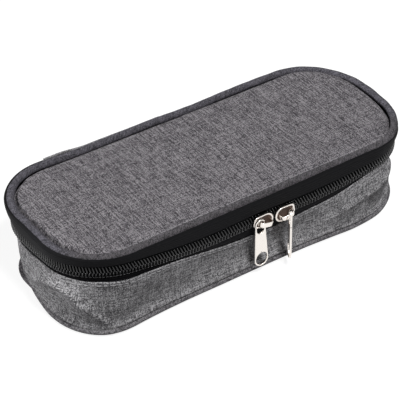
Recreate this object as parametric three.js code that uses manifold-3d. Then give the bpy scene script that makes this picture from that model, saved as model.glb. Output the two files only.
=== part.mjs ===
// A soft zipped cooling case for insulin pens: a fabric pouch with foam insulated, foil lined walls,
// a flat lid hinged along the back, and a zip with two sliders round the front and both ends.
// Millimetres, +Z up. The origin is the middle of the base's underside and the front faces -Y.
import * as THREE from 'three';
import { mergeVertices } from 'three/addons/utils/BufferGeometryUtils.js';
import Module from 'manifold-3d';

const wasm = await Module();
wasm.setup();

// The case as a whole: the lid's outline over its piping, and how far the wall lies inside it.
const lidLength = 205;
const lidWidth = 85;
const lidCornerRadius = 31;
const caseHeight = 46;
const bellyHeight = 13;
const bellyEndTuck = 1.6;
const bellySideTuck = 0.5;
const bellyCornerRadius = 30;
const baseEndTuck = 2.6;
const baseSideTuck = 0.6;
const baseCornerRadius = 27;

// Layers, pipings and the gap between pieces that are sewn or laid against each other.
const clearance = 0.3;
const fabricThickness = 0.8;
const foilThickness = 0.5;
const baseFoamThickness = 3;
const wallFoamThickness = 4;
const lidFoamThickness = 3;
const lidPipingDiameter = 4;
const basePipingDiameter = 3;
const lidEdgeDrop = 1;
const lidCrownRise = 0.8;
const lidCrownMargin = 9;
const lidPanelThickness = 1.1;
const bindingThickness = 0.8;
const lidBindingWidth = 1.8;
const lidBindingHeight = 1.2;

// The zip: two coils on two tapes, with a gap between them for the sliders' posts.
const zipDrop = 15;
const chainGap = 1.4;
const coilWidth = 2.3;
const coilThickness = 1.6;
const coilInset = 0.8;
const tapeThickness = 0.6;
const tapeTuck = 3;
const wallTopDrop = 5.5;
const bandRise = 4;
const bandOverhang = 2.1;
const bandCrestDrop = 1.4;
const hingeLength = 136;
const hingeBulge = 0.8;

// Sliders and pulls, as on a number 5 zip.
const sliderLength = 11.8;
const sliderWideHeight = 9;
const sliderNarrowHeight = 6.6;
const sliderFrontThickness = 1.2;
const sliderBackThickness = 1;
const sliderBackShare = 0.75;
const postThickness = 0.8;
const postLength = 2.4;
const postReach = 3.2;
const bailSpan = 8;
const bailRise = 3.6;
const bailWidth = 2.6;
const bailThickness = 0.9;
const bailBend = 1.5;
const pullLength = 28.6;
const pullTopWidth = 6;
const pullEndWidth = 8;
const pullThickness = 1.2;
const eyeWidth = 4.4;
const eyeLength = 7.5;
const endHoleWidth = 6.6;
const endHoleLength = 7.4;
const endHoleRim = 0.8;
const sliderTilt = THREE.MathUtils.degToRad(11);
const leftSliderX = 2.8;
const leftSliderLift = -0.8;
const leftPullTurn = THREE.MathUtils.degToRad(3);
const rightSliderX = 15.7;
const rightSliderLift = -1.2;
const rightPullTurn = THREE.MathUtils.degToRad(60);
const rightPullSlip = 0.7;

// What lies inside.
const packLength = 76;
const packWidth = 56;
const packThickness = 8;
const packCornerRadius = 8;
const packSpacing = 4;
const packEdge = 6;
const dividerThickness = 3;
const dividerEase = 0.6;
const penLoopWidth = 17;
const penLoopHeight = 13;
const penLoopPitch = 20;
const penLoopCount = 3;
const elasticThickness = 0.8;
const elasticWidth = 25;
const elasticOffset = 45;
const elasticEnd = 2.4;
const netThickness = 0.5;
const pocketBindingWidth = 6;

// Fineness of the curves.
const cornerSteps = 8;
const pipingSides = 8;
const curveSteps = 8;

// Outlines: half length, half width and corner radius, and the same outline moved inwards.
const outline = (length, width, radius) => ({ x: length / 2, y: width / 2, r: radius });
const inset = (shape, by) => ({ x: shape.x - by, y: shape.y - by, r: shape.r - by });

const lidOutline = outline(lidLength, lidWidth, lidCornerRadius);
const bellyOutline = outline(lidLength - 2 * bellyEndTuck, lidWidth - 2 * bellySideTuck, bellyCornerRadius);
const baseOutline = outline(lidLength - 2 * baseEndTuck, lidWidth - 2 * baseSideTuck, baseCornerRadius);

// Depths inside the lid's outline, from the coil's face inwards.
const coilBack = coilInset + coilThickness;
const tapeFace = coilBack + clearance;
const tapeBack = tapeFace + tapeThickness;
const wallTopInside = tapeFace - clearance;
const wallTopOutside = wallTopInside - fabricThickness;
const foamOutside = tapeBack + clearance;
const foamInside = foamOutside + wallFoamThickness;
const liningOutside = foamInside + clearance;
const liningInside = liningOutside + foilThickness;
const lidFillInset = lidPipingDiameter + clearance;

// Heights, from the table up.
const basePipingFoot = fabricThickness + clearance;
const wallFoot = basePipingFoot + basePipingDiameter + clearance;
const baseFoamTop = basePipingFoot + baseFoamThickness;
const baseLiningFoot = Math.max(baseFoamTop, wallFoot - clearance) + clearance;
const baseLiningTop = baseLiningFoot + foilThickness;
const wallLiningFoot = baseLiningTop + clearance;
const zipHeight = caseHeight - zipDrop;
const wallTop = zipHeight - wallTopDrop;
const baseTapeFoot = wallTop - tapeTuck;
const wallFillTop = wallTop - bindingThickness - 4 * clearance;
const baseChainEdge = zipHeight - chainGap / 2;
const lidChainEdge = zipHeight + chainGap / 2;
const lidTapeTop = caseHeight - lidPipingDiameter - clearance;
const lidPanelEdgeTop = caseHeight - lidEdgeDrop;
const lidPanelFoot = lidPanelEdgeTop - lidPanelThickness;
const lidFoamTop = lidPanelFoot - clearance;
const lidFoamFoot = lidFoamTop - lidFoamThickness;
const lidLiningTop = lidFoamFoot - clearance;
const lidLiningFoot = lidLiningTop - foilThickness;
const lidUnderside = lidLiningFoot - clearance;
const packFoot = wallLiningFoot;
const packTop = packFoot + packThickness;
const dividerFoot = packTop + clearance;
const dividerTop = dividerFoot + dividerThickness;
const elasticFoot = dividerTop + clearance;

// Materials.
const finish = (color, roughness, metalness = 0) => new THREE.MeshStandardMaterial({ color, roughness, metalness });
const greyFabric = finish(0x716f73, 0.9);
const pipingFabric = finish(0x605f66, 0.9);
const blackTape = finish(0x202022, 0.8);
const blackCoil = finish(0x17171a, 0.45);
const nickel = finish(0xdcd7d0, 0.2, 1);
const foam = finish(0xf1f1ee, 0.95);
const foil = finish(0xc9cccf, 0.3, 0.9);
const binding = finish(0x2b2b2f, 0.85);
const gel = finish(0x8fc2e4, 0.35);
const elastic = finish(0x1a1a1c, 0.9);
const net = finish(0x2a2a2d, 0.85);

// A mesh from points and triangles, turned so that its faces point outwards.
function closedGeometry(points, triangles) {
  const volume = triangles.reduce((sum, [a, b, c]) => {
    const cross = new THREE.Vector3().crossVectors(points[b], points[c]);
    return sum + points[a].dot(cross);
  }, 0);
  const facing = volume < 0 ? triangles.map(([a, b, c]) => [a, c, b]) : triangles;
  const geometry = new THREE.BufferGeometry().setFromPoints(points);
  geometry.setIndex(facing.flat());
  geometry.computeVertexNormals();
  return geometry;
}

// Points round a rounded rectangle at height z, clockwise from above, starting at the back right corner.
// With backHalf, the ends are carried along the straight back to x = backHalf and -backHalf.
function ringPoints(shape, z, backHalf = 0) {
  const centreX = shape.x - shape.r;
  const centreY = shape.y - shape.r;
  const corners = [[centreX, centreY], [centreX, -centreY], [-centreX, -centreY], [-centreX, centreY]];
  const points = corners.flatMap(([x, y], corner) =>
    Array.from({ length: cornerSteps + 1 }, (_, step) => {
      const angle = (1 - corner - step / cornerSteps) * Math.PI / 2;
      return new THREE.Vector3(x + shape.r * Math.cos(angle), y + shape.r * Math.sin(angle), z);
    }));
  if (backHalf > 0) {
    points.unshift(new THREE.Vector3(backHalf, shape.y, z));
    points.push(new THREE.Vector3(-backHalf, shape.y, z));
  }
  return points;
}

// The two triangles of each cell between neighbouring rows of equal length.
function gridTriangles(rowCount, rowLength, rowsClose, pointsClose) {
  const triangles = [];
  const lastRow = rowsClose ? rowCount : rowCount - 1;
  const lastPoint = pointsClose ? rowLength : rowLength - 1;
  for (let row = 0; row < lastRow; row += 1) {
    for (let point = 0; point < lastPoint; point += 1) {
      const nextRow = (row + 1) % rowCount;
      const nextPoint = (point + 1) % rowLength;
      const corners = [[row, point], [nextRow, point], [nextRow, nextPoint], [row, nextPoint]];
      const [a, b, c, d] = corners.map(([r, p]) => r * rowLength + p);
      triangles.push([a, b, c], [a, c, d]);
    }
  }
  return triangles;
}

// A ring all the way round: the rows are the corners of its section, in order.
function ringGeometry(rows) {
  return closedGeometry(rows.flat(), gridTriangles(rows.length, rows[0].length, true, true));
}

// A plate: rows from its foot to its top, closed by a flat fan at each end.
function plateGeometry(rows) {
  const rowLength = rows[0].length;
  const triangles = gridTriangles(rows.length, rowLength, false, true);
  const lastRow = (rows.length - 1) * rowLength;
  for (let point = 1; point < rowLength - 1; point += 1) {
    triangles.push([0, point, point + 1], [lastRow, lastRow + point + 1, lastRow + point]);
  }
  return closedGeometry(rows.flat(), triangles);
}

// A strip with two ends: the rows are the corners of its section, which lies in a plane across X at each end.
function stripGeometry(rows) {
  const rowLength = rows[0].length;
  const triangles = gridTriangles(rows.length, rowLength, true, false);
  const section = rows.map((row) => new THREE.Vector2(row[0].y, row[0].z));
  const turn = Math.sign(THREE.ShapeUtils.area(section));
  THREE.ShapeUtils.triangulateShape(section, []).forEach((corners) => {
    const same = Math.sign(THREE.ShapeUtils.area(corners.map((corner) => section[corner]))) === turn;
    const [a, b, c] = (same ? corners : corners.toReversed()).map((corner) => corner * rowLength);
    const last = rowLength - 1;
    triangles.push([a, c, b], [a + last, b + last, c + last]);
  });
  return closedGeometry(rows.flat(), triangles);
}

// Section corners as [depth inside the lid's outline, height], carried round the zip's run.
const zipRun = (corners) => stripGeometry(
  corners.map(([depth, z]) => ringPoints(inset(lidOutline, depth), z, hingeLength / 2)));

// A flat shape pulled up to a thickness.
const slab = (shape, depth) => new THREE.ExtrudeGeometry(shape, {
  depth,
  bevelEnabled: false,
  curveSegments: curveSteps,
});

// Joining closed shapes into one solid.
function toSolid(geometry) {
  const bare = geometry.clone();
  bare.deleteAttribute('normal');
  bare.deleteAttribute('uv');
  const merged = mergeVertices(bare);
  const vertProperties = merged.getAttribute('position').array;
  const triVerts = new Uint32Array(merged.getIndex().array);
  return new wasm.Manifold(new wasm.Mesh({ numProp: 3, vertProperties, triVerts }));
}

function joined(geometries) {
  const mesh = geometries.map(toSolid).reduce((whole, next) => whole.add(next)).getMesh();
  const geometry = new THREE.BufferGeometry();
  geometry.setAttribute('position', new THREE.BufferAttribute(mesh.vertProperties, 3));
  geometry.setIndex(new THREE.BufferAttribute(mesh.triVerts, 1));
  geometry.computeVertexNormals();
  return geometry;
}

const insulinCase = new THREE.Group();

function addPiece(name, geometry, material, parent = insulinCase) {
  const piece = new THREE.Mesh(geometry, material);
  piece.name = name;
  parent.add(piece);
  return piece;
}

// A round cord laid along an outline, its outer side on that outline.
function pipingRing(shape, diameter, foot) {
  const rows = Array.from({ length: pipingSides }, (_, side) => {
    const angle = side / pipingSides * 2 * Math.PI;
    const depth = diameter / 2 * (1 - Math.cos(angle));
    const height = diameter / 2 * (1 + Math.sin(angle));
    return ringPoints(inset(shape, depth), foot + height);
  });
  return ringGeometry(rows);
}

// Base: the underside, its piping, the insulation and the lining.
function addBase() {
  const panel = inset(baseOutline, basePipingDiameter / 2);
  const foamShape = inset(baseOutline, basePipingDiameter + clearance);
  const liningShape = inset(lidOutline, liningOutside);
  const flatPlate = (shape, foot, top) => plateGeometry([ringPoints(shape, foot), ringPoints(shape, top)]);
  addPiece('base_panel', flatPlate(panel, 0, fabricThickness), greyFabric);
  addPiece('base_piping', pipingRing(baseOutline, basePipingDiameter, basePipingFoot), pipingFabric);
  addPiece('base_foam', flatPlate(foamShape, basePipingFoot, baseFoamTop), foam);
  addPiece('base_lining', flatPlate(liningShape, baseLiningFoot, baseLiningTop), foil);
}

// The wall's fabric at three levels: its foot on the base piping, its belly and its top under the zip.
const wallLevels = [
  { shape: inset(baseOutline, clearance), z: wallFoot },
  { shape: bellyOutline, z: bellyHeight },
  { shape: inset(lidOutline, wallTopOutside), z: wallTop },
];

// Side wall round the front and ends, the straight back wall, and the foam, foil and binding inside them.
function addWall() {
  const inner = wallLevels.toReversed().map(({ shape, z }) => ({ shape: inset(shape, fabricThickness), z }));
  const shellLevels = [...wallLevels, ...inner];
  const sideRows = shellLevels.map(({ shape, z }) => ringPoints(shape, z, hingeLength / 2));
  addPiece('side_wall', stripGeometry(sideRows), greyFabric);

  const backHalf = hingeLength / 2 - clearance;
  const backRows = shellLevels.map(({ shape, z }) => [
    new THREE.Vector3(-backHalf, shape.y, z),
    new THREE.Vector3(backHalf, shape.y, z),
  ]);
  addPiece('back_wall', stripGeometry(backRows), greyFabric);

  const [footLevel, bellyLevel] = wallLevels;
  const foamSkin = fabricThickness + clearance;
  const cavity = inset(lidOutline, foamInside);
  addPiece('wall_foam', ringGeometry([
    ringPoints(inset(footLevel.shape, foamSkin), wallFoot),
    ringPoints(inset(bellyLevel.shape, foamSkin), bellyHeight),
    ringPoints(inset(lidOutline, foamOutside), baseTapeFoot - clearance),
    ringPoints(inset(lidOutline, foamOutside), wallFillTop),
    ringPoints(cavity, wallFillTop),
    ringPoints(cavity, wallFoot),
  ]), foam);

  const ringBand = (outside, inside, foot, top) => ringGeometry([
    ringPoints(inset(lidOutline, outside), foot),
    ringPoints(inset(lidOutline, outside), top),
    ringPoints(inset(lidOutline, inside), top),
    ringPoints(inset(lidOutline, inside), foot),
  ]);
  addPiece('wall_lining', ringBand(liningOutside, liningInside, wallLiningFoot, wallFillTop), foil);
  const bindingFoot = wallFillTop + clearance;
  const bindingTop = bindingFoot + bindingThickness;
  addPiece('base_rim_binding', ringBand(foamOutside, liningInside, bindingFoot, bindingTop), binding);
}

// Lower zip half, sewn behind the wall's top edge.
function addLowerZip() {
  addPiece('base_zip_tape', zipRun([
    [tapeFace, baseTapeFoot],
    [tapeFace, baseChainEdge],
    [tapeBack, baseChainEdge],
    [tapeBack, baseTapeFoot],
  ]), blackTape);
  addPiece('base_zip_coil', zipRun(coilSection(baseChainEdge - coilWidth)), blackCoil);
}

// A coil's section: flat against its tape, with a rounded face.
function coilSection(foot) {
  const top = foot + coilWidth;
  const shoulder = coilWidth / 4;
  const face = coilInset;
  const side = coilInset + shoulder;
  return [
    [coilBack, foot],
    [side, foot],
    [face, foot + shoulder],
    [face, top - shoulder],
    [side, top],
    [coilBack, top],
  ];
}

// Cold packs on the base lining, each a flat pillow with a thin edge.
function addGelPacks() {
  const shape = outline(packLength, packWidth, packCornerRadius);
  const swell = [[packEdge, 0], [packEdge / 4, 1 / 4], [0, 1 / 2], [packEdge / 4, 3 / 4], [packEdge, 1]];
  const geometry = plateGeometry(swell.map(([depth, share]) =>
    ringPoints(inset(shape, depth), packFoot + share * packThickness)));
  const reach = (packLength + packSpacing) / 2;
  addPiece('gel_pack_left', geometry, gel).position.x = -reach;
  addPiece('gel_pack_right', geometry, gel).position.x = reach;
}

// Insulated pad over the packs, with two elastic bands sewn to it that stand up in a loop for each pen.
function addPenHolder() {
  const pad = inset(lidOutline, liningInside + dividerEase);
  addPiece('divider_pad', plateGeometry([ringPoints(pad, dividerFoot), ringPoints(pad, dividerTop)]), foam);

  const middles = Array.from({ length: penLoopCount }, (_, loop) => (loop - (penLoopCount - 1) / 2) * penLoopPitch);
  const halfBand = (penLoopCount - 1) / 2 * penLoopPitch + penLoopWidth / 2 + elasticThickness + elasticEnd;
  const band = new THREE.Shape();
  band.moveTo(-halfBand, 0);
  middles.forEach((middle) => {
    band.lineTo(middle - penLoopWidth / 2, 0);
    band.absellipse(middle, 0, penLoopWidth / 2, penLoopHeight, Math.PI, 0, true);
  });
  band.lineTo(halfBand, 0);
  band.lineTo(halfBand, elasticThickness);
  const outerHalf = penLoopWidth / 2 + elasticThickness;
  const outerRise = penLoopHeight + elasticThickness;
  const start = Math.asin(elasticThickness / outerRise);
  middles.toReversed().forEach((middle) => {
    band.lineTo(middle + outerHalf * Math.cos(start), elasticThickness);
    band.absellipse(middle, 0, outerHalf, outerRise, start, Math.PI - start, false);
  });
  band.lineTo(-halfBand, elasticThickness);
  const geometry = slab(band, elasticWidth).rotateX(Math.PI / 2).rotateZ(Math.PI / 2);
  geometry.translate(-elasticWidth / 2, 0, elasticFoot);
  addPiece('pen_elastic_left', geometry, elastic).position.x = -elasticOffset;
  addPiece('pen_elastic_right', geometry, elastic).position.x = elasticOffset;
}

// Lid: the crowned fabric panel inside its piping, then foam, foil and binding under it.
function addLid() {
  const fill = inset(lidOutline, lidFillInset);
  const crown = inset(fill, lidCrownMargin);
  addPiece('lid_panel', plateGeometry([
    ringPoints(fill, lidPanelFoot),
    ringPoints(fill, lidPanelEdgeTop),
    ringPoints(crown, lidPanelEdgeTop + lidCrownRise),
  ]), greyFabric);
  addPiece('lid_piping', pipingRing(lidOutline, lidPipingDiameter, caseHeight - lidPipingDiameter), pipingFabric);
  addPiece('lid_foam', plateGeometry([ringPoints(fill, lidFoamFoot), ringPoints(fill, lidFoamTop)]), foam);
  addPiece('lid_lining', plateGeometry([ringPoints(fill, lidLiningFoot), ringPoints(fill, lidLiningTop)]), foil);
  const bindingOutside = inset(lidOutline, lidFillInset + bindingThickness);
  const bindingInside = inset(bindingOutside, lidBindingWidth);
  addPiece('lid_rim_binding', ringGeometry([
    ringPoints(bindingOutside, lidUnderside - lidBindingHeight),
    ringPoints(bindingOutside, lidUnderside),
    ringPoints(bindingInside, lidUnderside),
    ringPoints(bindingInside, lidUnderside - lidBindingHeight),
  ]), binding);

  const pocket = inset(bindingInside, clearance);
  const mouth = pocket.y - pocket.r - pocketBindingWidth - clearance;
  const cornerX = pocket.x - pocket.r;
  const cornerY = pocket.y - pocket.r;
  const netShape = new THREE.Shape();
  netShape.moveTo(pocket.x, mouth);
  netShape.lineTo(-pocket.x, mouth);
  netShape.absarc(-cornerX, -cornerY, pocket.r, Math.PI, Math.PI * 3 / 2, false);
  netShape.absarc(cornerX, -cornerY, pocket.r, -Math.PI / 2, 0, false);
  const netPiece = addPiece('pocket_net', slab(netShape, netThickness), net);
  netPiece.position.z = lidUnderside - netThickness;
  const bindingBar = new THREE.BoxGeometry(2 * pocket.x, pocketBindingWidth, bindingThickness);
  const bindingPiece = addPiece('pocket_binding', bindingBar, binding);
  bindingPiece.position.set(0, mouth + clearance + pocketBindingWidth / 2, lidUnderside - bindingThickness / 2);
}

// Upper zip half: the tape bulges out between the chain and the lid's piping.
function addUpperZip() {
  const waist = zipHeight + bandRise;
  const crest = lidTapeTop - bandCrestDrop;
  const overhangAtTop = bandOverhang / 2;
  const outside = [
    [tapeFace, lidChainEdge],
    [tapeFace, waist],
    [tapeFace - bandOverhang, crest],
    [tapeFace - overhangAtTop, lidTapeTop],
  ];
  const inside = outside.toReversed().map(([depth, z]) => [depth + tapeThickness, z]);
  addPiece('lid_zip_tape', zipRun([...outside, ...inside]), blackTape);
  addPiece('lid_zip_coil', zipRun(coilSection(lidChainEdge)), blackCoil);
}

// Fabric hinge between the back wall and the lid's piping, bulging a little at half height.
function addBackHinge() {
  const foot = wallTop + clearance;
  const outside = [
    [wallTopOutside, foot],
    [wallTopOutside - hingeBulge, (foot + lidTapeTop) / 2],
    [wallTopOutside, lidTapeTop],
  ];
  const inside = outside.toReversed().map(([depth, z]) => [depth + fabricThickness, z]);
  const half = hingeLength / 2 - clearance;
  const rows = [...outside, ...inside].map(([depth, z]) => [
    new THREE.Vector3(-half, lidOutline.y - depth, z),
    new THREE.Vector3(half, lidOutline.y - depth, z),
  ]);
  addPiece('back_hinge', stripGeometry(rows), greyFabric);
}

// Sliders are drawn in elevation: x along the chain towards the wide end, y up, z outwards from the lid's outline.
const sliderFrontFoot = clearance - coilInset;
const sliderFace = sliderFrontFoot + sliderFrontThickness;
const sliderBackTop = -tapeBack - clearance;

function sliderPlate(share) {
  const half = sliderLength / 2 * share;
  const wide = sliderWideHeight / 2 * share;
  const narrow = sliderNarrowHeight / 2 * share;
  const shoulder = half / 8;
  const nose = half / 5;
  const plate = new THREE.Shape();
  plate.moveTo(-half, -narrow + nose);
  plate.quadraticCurveTo(-half, -narrow, -half + nose, -narrow);
  plate.lineTo(shoulder, -wide);
  plate.bezierCurveTo(half * 0.7, -wide, half, -wide * 0.6, half, 0);
  plate.bezierCurveTo(half, wide * 0.6, half * 0.7, wide, shoulder, wide);
  plate.lineTo(-half + nose, narrow);
  plate.quadraticCurveTo(-half, narrow, -half, narrow - nose);
  return plate;
}

// The bail's arch, seen from above: x along the chain, y outwards, its legs rooted in the front plate.
function bailArch() {
  const edge = (span, rise, bend) => {
    const half = span / 2;
    return [
      new THREE.LineCurve(new THREE.Vector2(-half, -sliderFrontThickness / 2), new THREE.Vector2(-half, rise - bend)),
      new THREE.QuadraticBezierCurve(
        new THREE.Vector2(-half, rise - bend),
        new THREE.Vector2(-half, rise),
        new THREE.Vector2(-half + bend, rise)),
      new THREE.QuadraticBezierCurve(
        new THREE.Vector2(half - bend, rise),
        new THREE.Vector2(half, rise),
        new THREE.Vector2(half, rise - bend)),
      new THREE.LineCurve(new THREE.Vector2(half, rise - bend), new THREE.Vector2(half, -sliderFrontThickness / 2)),
    ].flatMap((curve) => curve.getPoints(curve.isLineCurve ? 1 : curveSteps / 2));
  };
  const outer = edge(bailSpan, bailRise, bailBend);
  const inner = edge(bailSpan - 2 * bailThickness, bailRise - bailThickness, bailBend - bailThickness / 2);
  return new THREE.Shape([...outer, ...inner.toReversed()]);
}

function sliderGeometry(turn, lift) {
  const front = slab(sliderPlate(1), sliderFrontThickness).translate(0, 0, sliderFrontFoot);
  const back = slab(sliderPlate(sliderBackShare), sliderBackThickness);
  back.translate(0, 0, sliderBackTop - sliderBackThickness);
  const bail = slab(bailArch(), bailWidth).rotateX(Math.PI / 2).translate(0, bailWidth / 2, sliderFace);
  const place = (geometry) => geometry.rotateZ(turn).translate(0, lift, 0);
  const postDepth = sliderFrontFoot - sliderBackTop + (sliderFrontThickness + sliderBackThickness) / 2;
  const post = new THREE.BoxGeometry(postLength, postThickness, postDepth);
  const postMiddle = (sliderFrontFoot + sliderBackTop + (sliderFrontThickness - sliderBackThickness) / 2) / 2;
  post.translate(Math.sign(Math.cos(turn)) * postReach, 0, postMiddle);
  return joined([place(front), place(back), place(bail), post]);
}

// A pull tab hanging from the middle of its eye: a tapered plate with a long eye and a large hole at its end.
function pullGeometry() {
  const topRadius = pullTopWidth / 2;
  const endRadius = pullEndWidth / 2;
  const eyeRadius = eyeWidth / 2;
  const endMiddle = topRadius + endRadius - pullLength;
  const tab = new THREE.Shape();
  tab.absarc(0, 0, topRadius, 0, Math.PI, false);
  tab.absarc(0, endMiddle, endRadius, Math.PI, 2 * Math.PI, false);
  const eye = new THREE.Path();
  eye.absarc(0, 0, eyeRadius, 0, Math.PI, false);
  eye.absarc(0, eyeWidth - eyeLength, eyeRadius, Math.PI, 2 * Math.PI, false);
  const hole = new THREE.Path();
  const holeMiddle = topRadius - pullLength + endHoleRim + endHoleLength / 2;
  hole.absellipse(0, holeMiddle, endHoleWidth / 2, endHoleLength / 2, 0, 2 * Math.PI, false);
  tab.holes.push(eye, hole);
  return slab(tab, pullThickness).translate(0, 0, -pullThickness / 2);
}

// Each slider stands on the chain at the front, its wide end a little lower. The left pull hangs flat
// on its bail's outer leg, the right one across its bail.
function addSliders() {
  const elevation = (x) => {
    const group = new THREE.Group();
    group.position.set(x, -lidOutline.y, zipHeight);
    group.rotation.x = Math.PI / 2;
    insulinCase.add(group);
    return group;
  };

  const alongBail = (reach, turn) => new THREE.Vector2(reach, 0).rotateAround(new THREE.Vector2(), turn);

  const left = elevation(leftSliderX);
  addPiece('left_slider', sliderGeometry(-sliderTilt, leftSliderLift), nickel, left);
  const leg = alongBail((bailThickness - bailSpan) / 2, -sliderTilt);
  const leftPull = addPiece('left_pull', pullGeometry(), nickel, left);
  leftPull.position.set(leg.x, leg.y + leftSliderLift, sliderFace + (bailRise - bailThickness) / 2);
  leftPull.rotation.z = leftPullTurn;

  const right = elevation(rightSliderX);
  addPiece('right_slider', sliderGeometry(Math.PI + sliderTilt, rightSliderLift), nickel, right);
  const slip = alongBail(rightPullSlip, sliderTilt);
  const rightPull = addPiece('right_pull', pullGeometry(), nickel, right);
  rightPull.position.set(slip.x, slip.y + rightSliderLift, sliderFace + bailRise - bailThickness / 2);
  rightPull.rotation.y = rightPullTurn;
}

addBase();
addWall();
addLowerZip();
addGelPacks();
addPenHolder();
addLid();
addUpperZip();
addBackHinge();
addSliders();

export default insulinCase;
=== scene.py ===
import bmesh
import bpy
import numpy as np
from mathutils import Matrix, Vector


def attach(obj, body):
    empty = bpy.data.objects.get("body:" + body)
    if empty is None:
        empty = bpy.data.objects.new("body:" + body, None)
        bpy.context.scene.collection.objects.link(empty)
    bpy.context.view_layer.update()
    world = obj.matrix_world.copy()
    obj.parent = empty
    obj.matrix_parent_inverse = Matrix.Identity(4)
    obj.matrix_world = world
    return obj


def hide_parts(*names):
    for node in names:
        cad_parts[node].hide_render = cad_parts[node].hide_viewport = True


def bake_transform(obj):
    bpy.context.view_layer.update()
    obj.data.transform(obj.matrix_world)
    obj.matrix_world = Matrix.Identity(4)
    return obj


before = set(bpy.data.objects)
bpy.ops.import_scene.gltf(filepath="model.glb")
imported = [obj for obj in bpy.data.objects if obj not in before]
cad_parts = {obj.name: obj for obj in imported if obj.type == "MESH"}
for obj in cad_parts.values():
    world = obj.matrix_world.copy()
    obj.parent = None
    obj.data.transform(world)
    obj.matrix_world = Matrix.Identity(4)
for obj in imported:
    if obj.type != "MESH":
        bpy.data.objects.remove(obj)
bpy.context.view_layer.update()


# The camera: a long lens to the front left of the case and above it, as the picture was taken.
# The picture is square, and the case stands a little off its middle, which the shift takes up.
def put_object(name, data):
    """A new object at the origin, linked into the scene."""
    thing = bpy.data.objects.new(name, data)
    bpy.context.scene.collection.objects.link(thing)
    return thing


def aim_at_case(thing, place):
    """Sets a camera or a lamp at a place and turns it to the middle of the case."""
    thing.location = place
    thing.rotation_mode = "QUATERNION"
    thing.rotation_quaternion = (case_middle - thing.location).to_track_quat("-Z", "Y")


case_middle = Vector((0, 0, 0.025))
camera_data = bpy.data.cameras.new("camera")
camera_data.sensor_width = 36
camera_data.lens = 168.2
camera_data.shift_x = -0.0205
camera_data.shift_y = -0.0285
camera = put_object("camera", camera_data)
aim_at_case(camera, (-0.4302, -0.6145, 0.5815))
bpy.context.scene.camera = camera
bpy.context.scene.view_settings.view_transform = "Standard"


# The studio: a pale table top under the case, a low soft lamp at the back left, a high one in front, and a white room.
# What the lens and the bright metal see of table and room is white, and the table keeps the case's soft shadow.
def add_node(tree, kind, inputs=None, **settings):
    """One shader node: settings are its properties, and inputs maps a socket's name or number to a value, to an output
    or to a node, which stands for its first output."""
    node = tree.nodes.new("ShaderNode" + kind)
    for name, value in settings.items():
        setattr(node, name, value)
    for key, value in (inputs or {}).items():
        if isinstance(value, bpy.types.Node):
            value = value.outputs[0]
        if isinstance(value, bpy.types.NodeSocket):
            tree.links.new(value, node.inputs[key])
        else:
            node.inputs[key].default_value = value
    return node


def empty_tree(owner):
    """The node tree of a world or a material, emptied."""
    owner.use_nodes = True
    owner.node_tree.nodes.clear()
    return owner.node_tree


def seen_directly(tree):
    """1 for a ray from the lens, from gloss or through something clear, and 0 for light that is on its way."""
    path = add_node(tree, "LightPath").outputs
    shiny = add_node(tree, "Math", {0: path["Is Camera Ray"], 1: path["Is Glossy Ray"]}, operation="MAXIMUM")
    return add_node(tree, "Math", {0: shiny, 1: path["Is Transmission Ray"]}, operation="MAXIMUM")


white = (1, 1, 1, 1)
room = bpy.data.worlds.new("white_room")
room_tree = empty_tree(room)
room_light = add_node(room_tree, "Background", {"Color": white, "Strength": 0.12})
room_seen = add_node(room_tree, "Background", {"Color": white, "Strength": 1.0})
room_mix = add_node(room_tree, "MixShader", {0: seen_directly(room_tree), 1: room_light, 2: room_seen})
add_node(room_tree, "OutputWorld", {"Surface": room_mix})
bpy.context.scene.world = room

table_paint = bpy.data.materials.new("matt_white_table")
table_tree = empty_tree(table_paint)
table_plain = add_node(table_tree, "BsdfDiffuse", {"Color": (0.22, 0.22, 0.22, 1)})
table_shade = add_node(table_tree, "BsdfDiffuse", {"Color": (0.24, 0.24, 0.24, 1)})
table_glow = add_node(table_tree, "Emission", {"Color": white, "Strength": 0.83})
table_seen = add_node(table_tree, "AddShader", {0: table_shade, 1: table_glow})
table_mix = add_node(table_tree, "MixShader", {0: seen_directly(table_tree), 1: table_plain, 2: table_seen})
add_node(table_tree, "OutputMaterial", {"Surface": table_mix})

table_half, table_level = 4.0, -0.0001
table_mesh = bpy.data.meshes.new("table")
table_mesh.from_pydata([(-table_half, -table_half, table_level), (table_half, -table_half, table_level),
                        (table_half, table_half, table_level), (-table_half, table_half, table_level)],
                       [], [(0, 1, 2, 3)])
table_mesh.materials.append(table_paint)
table = put_object("table", table_mesh)

for lamp_name, lamp_place, lamp_power in (("left_soft_lamp", (-1.465, 0.846, 0.616), 26),
                                          ("front_soft_lamp", (0.0, -0.845, 1.589), 31)):
    lamp_data = bpy.data.lights.new(lamp_name, "AREA")
    lamp_data.shape = "DISK"
    lamp_data.size = 0.5
    lamp_data.energy = lamp_power
    aim_at_case(put_object(lamp_name, lamp_data), lamp_place)


# The base panel is the underside that the case stands on: grey heather polyester, cut to the base's outline.
# It is a woven cloth of melange yarn, so single threads show as short light and dark streaks both ways.
MM = 0.001


def srgb(code):
    """Linear colour of an sRGB hex value: c / 12.92 up to 0.04045, else ((c + 0.055) / 1.055) to the power 2.4."""
    parts = np.array([int(code[place:place + 2], 16) for place in (1, 3, 5)]) / 255
    linear = np.where(parts <= 0.04045, parts / 12.92, ((parts + 0.055) / 1.055) ** 2.4)
    return (*linear.tolist(), 1.0)


def open_material(name, cloth=False):
    """A new material, its tree and its coordinates: the place on the flat cloth, or else in the object's own frame."""
    material = bpy.data.materials.new(name)
    tree = empty_tree(material)
    place = add_node(tree, "UVMap", uv_map="cloth") if cloth else add_node(tree, "TexCoord").outputs["Object"]
    return material, tree, place


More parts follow.
